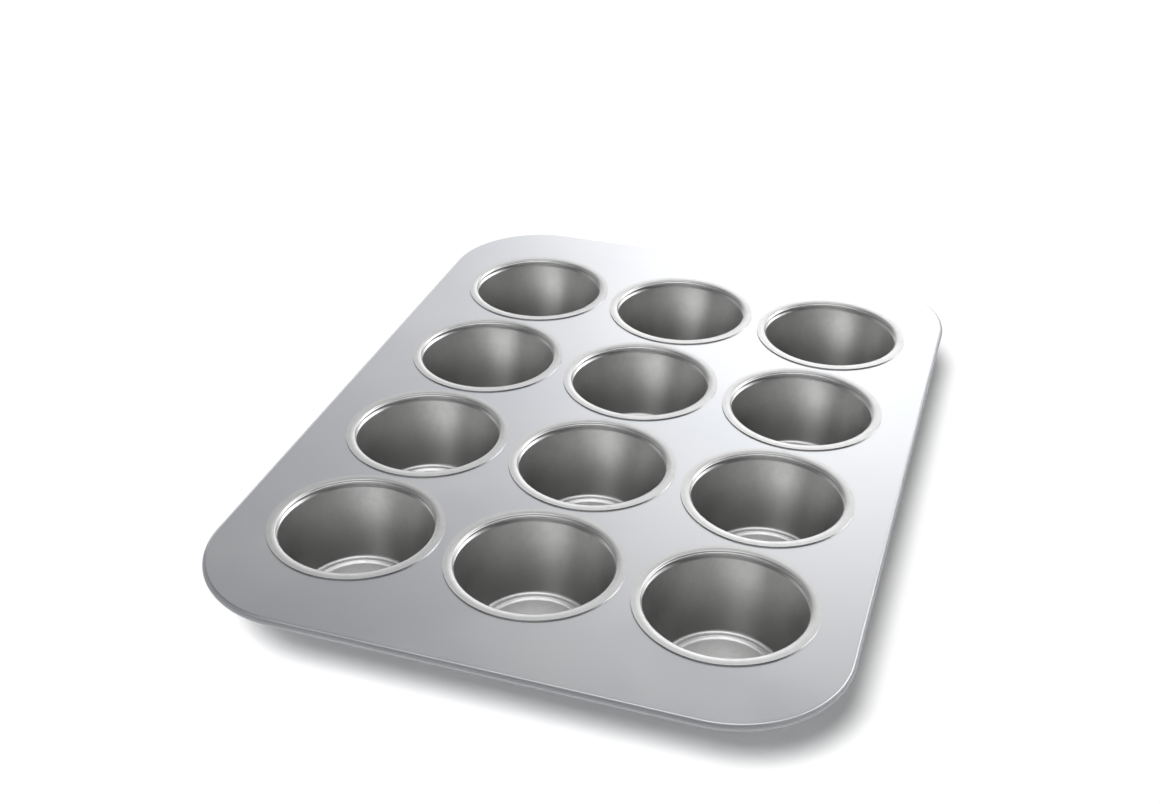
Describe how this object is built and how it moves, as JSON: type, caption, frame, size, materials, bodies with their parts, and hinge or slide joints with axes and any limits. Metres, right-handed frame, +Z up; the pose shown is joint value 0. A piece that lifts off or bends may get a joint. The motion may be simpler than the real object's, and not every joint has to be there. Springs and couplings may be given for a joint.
{
  "type": "muffin pan",
  "caption": "Bakery muffin pan: round tapered cups locked by a flange and a bead into a flat sheet-metal frame with round corners and a curled rim.",
  "frame": {"origin": "centre of the pan's outline, on the surface that the cups stand on", "axes": "+X across a row of cups to the right, +Y along the pan from the front row to the back row, +Z up"},
  "size_m": [0.328, 0.4544, 0.0446],
  "materials": {
    "frame_sheet": "smooth tinned steel sheet with a soft, cloudy sheen",
    "cup_sheet": "drawn steel sheet, satin outside and slightly grained inside"
  },
  "bodies": {
    "root": {"frame": "frame_sheet", "cup_row1_left": "cup_sheet", "cup_row1_middle": "cup_sheet", "cup_row1_right": "cup_sheet", "cup_row2_left": "cup_sheet", "cup_row2_middle": "cup_sheet", "cup_row2_right": "cup_sheet", "cup_row3_left": "cup_sheet", "cup_row3_middle": "cup_sheet", "cup_row3_right": "cup_sheet", "cup_row4_left": "cup_sheet", "cup_row4_middle": "cup_sheet", "cup_row4_right": "cup_sheet"}
  },
  "joints": []
}
